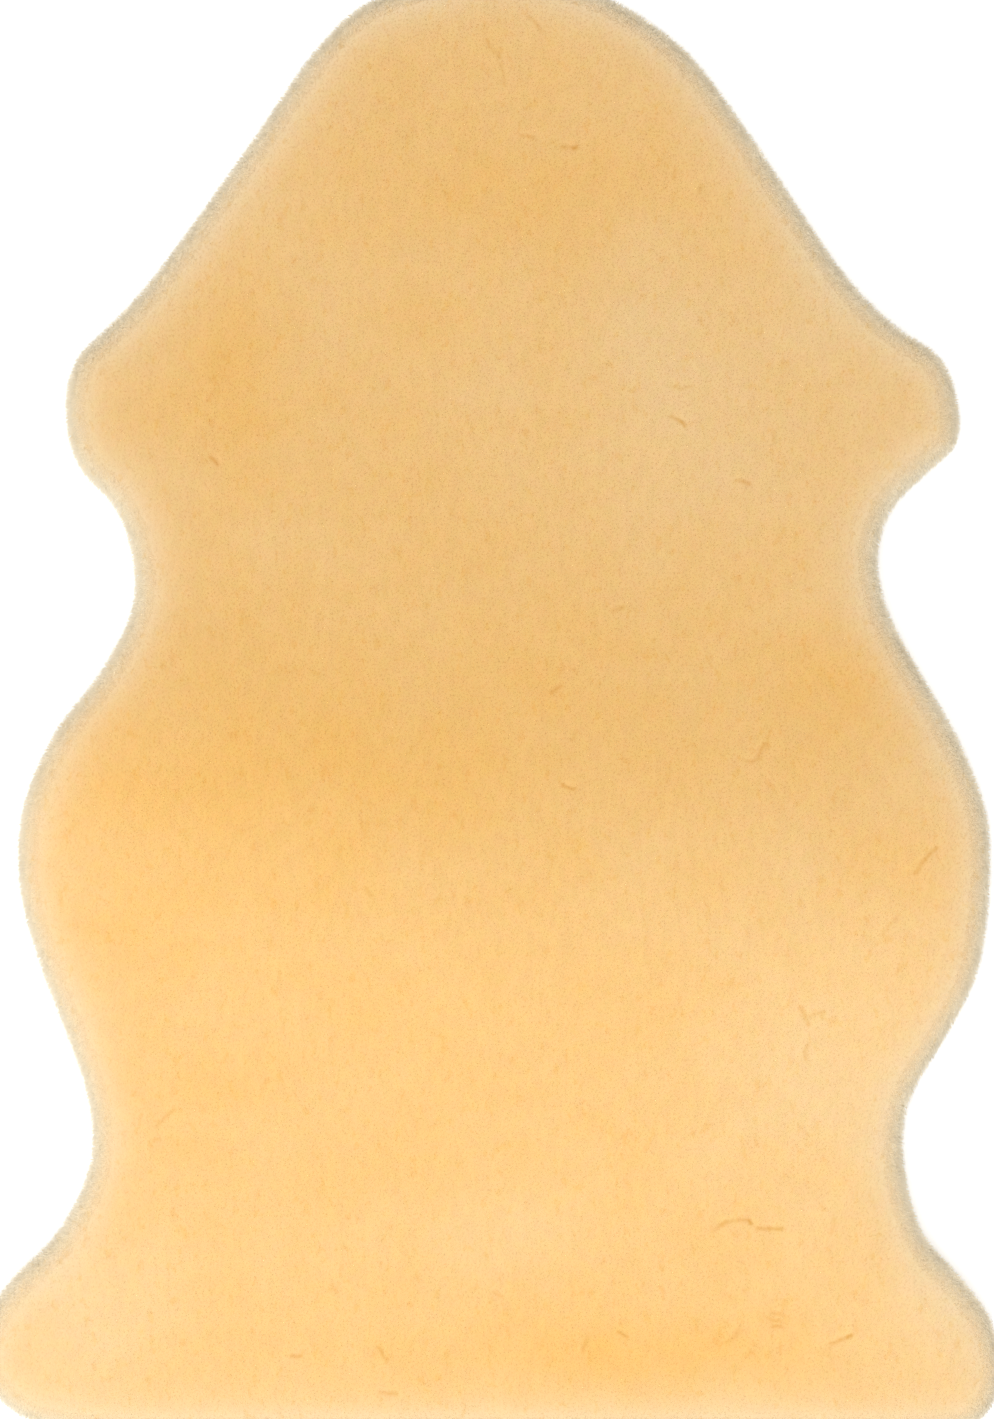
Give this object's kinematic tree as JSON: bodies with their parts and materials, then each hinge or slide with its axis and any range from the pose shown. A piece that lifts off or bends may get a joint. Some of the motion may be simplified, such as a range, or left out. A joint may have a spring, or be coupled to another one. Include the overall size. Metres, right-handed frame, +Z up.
{
  "type": "sheepskin rug",
  "caption": "Short-clipped sheepskin lying flat, wool side up, with a rounded neck end, fore and hind flaps and a straight tail edge.",
  "frame": {"origin": "on the floor under the middle of the skin's outline", "axes": "+Z up out of the wool, +Y along the skin from the tail edge to the neck end, +X across it"},
  "size_m": [0.6662, 0.955, 0.03],
  "materials": {
    "fleece": "short-clipped dense wool, matt, honey yellow, paler at the rim",
    "hide": "undyed suede, matt, the flesh side of the same skin"
  },
  "bodies": {
    "root": {"sheepskin": "fleece"}
  },
  "joints": []
}
